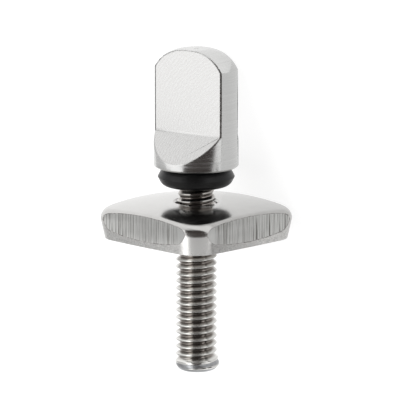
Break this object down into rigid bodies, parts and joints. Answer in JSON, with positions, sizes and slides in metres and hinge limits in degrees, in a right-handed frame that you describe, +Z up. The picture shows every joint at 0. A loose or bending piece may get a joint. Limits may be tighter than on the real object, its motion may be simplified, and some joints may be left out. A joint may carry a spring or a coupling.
{
  "type": "surfboard fin screw",
  "caption": "Thumb-turned fin screw: flat-sided turned head, rubber ring under it, threaded shank with a swollen end, and a pillow-shaped square plate nut on the thread.",
  "frame": {"origin": "middle of the lying screw's bounding box, on the ground", "axes": "+X along the length, towards the head; +Z up from the ground; the screw lies nose down on one plate side and the end of its head"},
  "size_m": [0.03, 0.0138, 0.014],
  "materials": {
    "screw_steel": "turned and milled stainless steel, fine cutter marks on the flats",
    "ring_rubber": "moulded black rubber with a mould line",
    "plate_steel": "tumbled stainless steel with sheared facets on its sides"
  },
  "bodies": {
    "plate": {"fin_plate": "plate_steel"},
    "ring": {"o_ring": "ring_rubber"},
    "screw": {"thumb_screw": "screw_steel"}
  },
  "joints": [
    {"name": "screw_travel", "type": "slide", "parent": "plate", "child": "ring", "axis": [0.9422, 0, -0.3351], "range_m": [-0.0014, 0.0112]},
    {"name": "screw_turn", "type": "hinge", "parent": "ring", "child": "screw", "pos_m": [0.00081, 0, 0.00643], "axis": [0.9422, 0, -0.3351], "range_deg": [-720, 5760]}
  ],
  "couplings": [
    {"joint": "screw_turn", "follows": "screw_travel", "rad_per_m": 8976}
  ]
}
